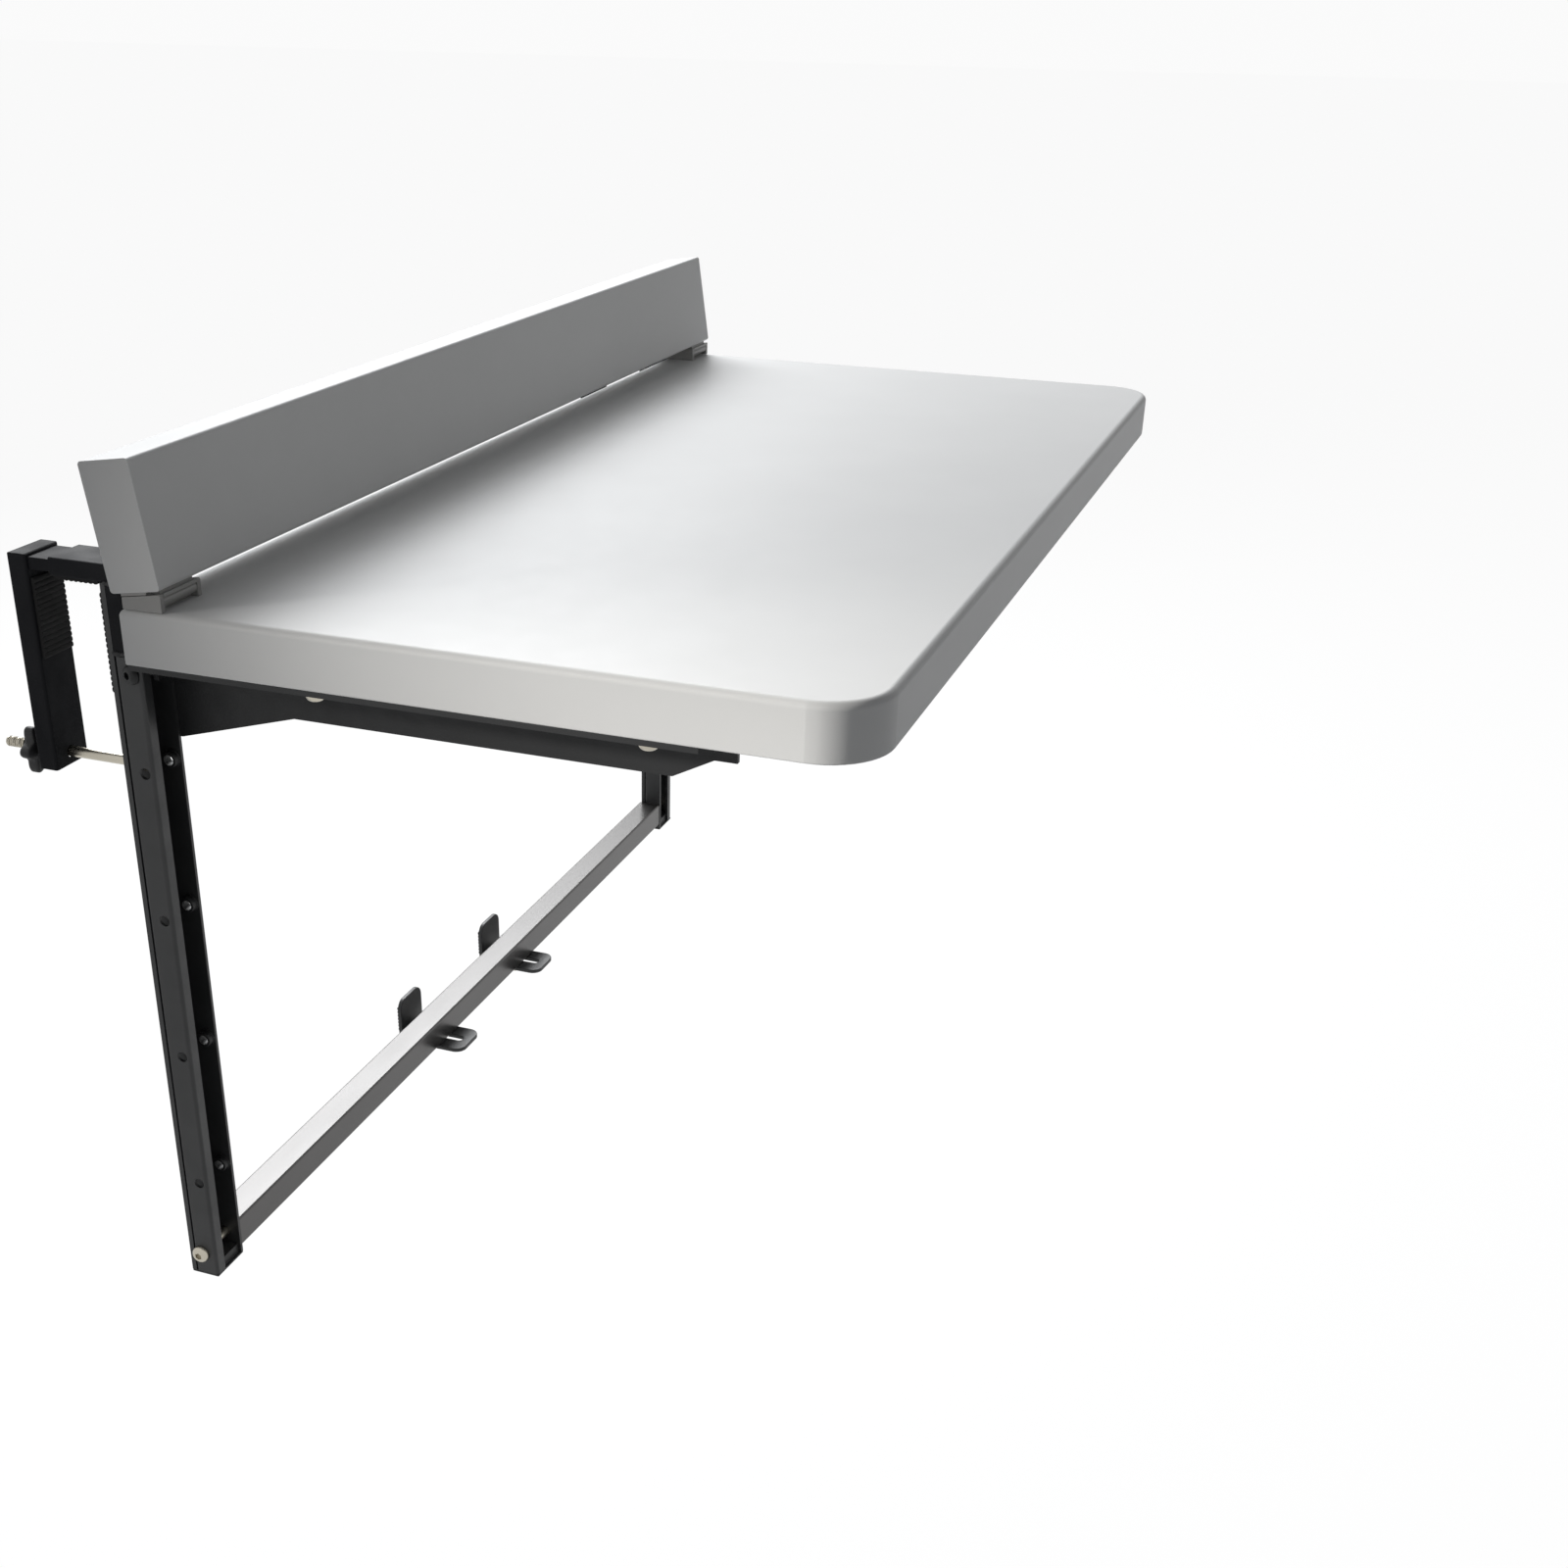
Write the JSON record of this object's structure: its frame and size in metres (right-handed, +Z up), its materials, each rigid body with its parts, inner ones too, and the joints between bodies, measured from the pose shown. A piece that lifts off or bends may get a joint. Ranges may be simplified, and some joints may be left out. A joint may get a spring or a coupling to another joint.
{
  "type": "balcony railing bar table",
  "caption": "Bar table that hangs on a balcony handrail by clamping hooks, with folding slab, tilting guard board, drilled uprights and a crossbar with baluster clips.",
  "frame": {"origin": "mid length, on the front top edge of the handrail, level with the hook pads' undersides and the uprights' rear faces", "axes": "+X along the slab's length, to the right of someone seated at it; -Y towards that person; +Z up"},
  "size_m": [0.8, 0.5055, 0.5104],
  "materials": {
    "white_board": "board with a satin light grey laminate",
    "black_steel": "satin powder coat",
    "bar_steel": "satin metallic paint",
    "bright_steel": "zinc plated",
    "hinge_metal": "satin",
    "black_rubber": "matt",
    "black_plastic": "moulded"
  },
  "bodies": {
    "frame": {"crossbar": "bar_steel", "clip_bolt_left": "bright_steel", "clip_bolt_right": "bright_steel", "clip_nut_left": "bright_steel", "clip_nut_right": "bright_steel", "upright_left": "black_steel", "upright_right": "black_steel", "strap_left": "black_steel", "strap_right": "black_steel", "back_pad_left": "black_rubber", "back_pad_right": "black_rubber", "hook_post_left": "black_steel", "hook_post_right": "black_steel", "hook_tube_left": "black_steel", "hook_tube_right": "black_steel", "hook_pad_left": "black_rubber", "hook_pad_right": "black_rubber", "board_rest_left": "black_rubber", "board_rest_right": "black_rubber", "tie_rod_left": "bright_steel", "tie_rod_right": "bright_steel", "tie_nut_left": "bright_steel", "tie_nut_right": "bright_steel", "pivot_bolt_left": "black_steel", "pivot_bolt_right": "black_steel", "pivot_nut_left": "bright_steel", "pivot_nut_right": "bright_steel", "bar_bolt_left": "bright_steel", "bar_bolt_right": "bright_steel", "bar_plug_left": "black_plastic", "bar_plug_right": "black_plastic", "end_cap_left": "black_plastic", "end_cap_right": "black_plastic"},
    "top": {"tabletop": "white_board", "hinge_base_left": "hinge_metal", "hinge_base_right": "hinge_metal", "arm_left": "black_steel", "arm_right": "black_steel", "arm_screw_rear_left": "bright_steel", "arm_screw_rear_right": "bright_steel", "arm_screw_mid_left": "bright_steel", "arm_screw_mid_right": "bright_steel", "arm_screw_front_left": "bright_steel", "arm_screw_front_right": "bright_steel"},
    "board": {"guard_board": "white_board", "hinge_leaf_left": "hinge_metal", "hinge_leaf_right": "hinge_metal"},
    "jaw_left": {"jaw_slide_left": "black_steel", "jaw_tube_left": "black_steel", "jaw_pad_left": "black_rubber"},
    "knob_left": {"knob_left": "black_plastic"},
    "clip_left": {"clip_left": "black_steel", "clip_pad_left": "black_rubber"},
    "jaw_right": {"jaw_slide_right": "black_steel", "jaw_tube_right": "black_steel", "jaw_pad_right": "black_rubber"},
    "knob_right": {"knob_right": "black_plastic"},
    "clip_right": {"clip_right": "black_steel", "clip_pad_right": "black_rubber"}
  },
  "joints": [
    {"name": "top_fold", "type": "hinge", "parent": "frame", "child": "top", "pos_m": [0, -0.0155, -0.0456], "axis": [1, 0, 0], "range_deg": [0, 86]},
    {"name": "board_fold", "type": "hinge", "parent": "top", "child": "board", "pos_m": [0, -0.0442, -0.001], "axis": [1, 0, 0], "range_deg": [0, 98]},
    {"name": "jaw_left_slide", "type": "slide", "parent": "frame", "child": "jaw_left", "axis": [0, 1, 0], "range_m": [-0.01, 0.015]},
    {"name": "knob_left_turn", "type": "hinge", "parent": "jaw_left", "child": "knob_left", "pos_m": [-0.374, 0.06, -0.1015], "axis": [0, 1, 0], "continuous": true},
    {"name": "clip_left_slide", "type": "slide", "parent": "frame", "child": "clip_left", "axis": [0, 1, 0], "range_m": [-0.01, 0.018]},
    {"name": "jaw_right_slide", "type": "slide", "parent": "frame", "child": "jaw_right", "axis": [0, 1, 0], "range_m": [-0.01, 0.015]},
    {"name": "knob_right_turn", "type": "hinge", "parent": "jaw_right", "child": "knob_right", "pos_m": [0.374, 0.06, -0.1015], "axis": [0, 1, 0], "continuous": true},
    {"name": "clip_right_slide", "type": "slide", "parent": "frame", "child": "clip_right", "axis": [0, 1, 0], "range_m": [-0.01, 0.018]}
  ]
}
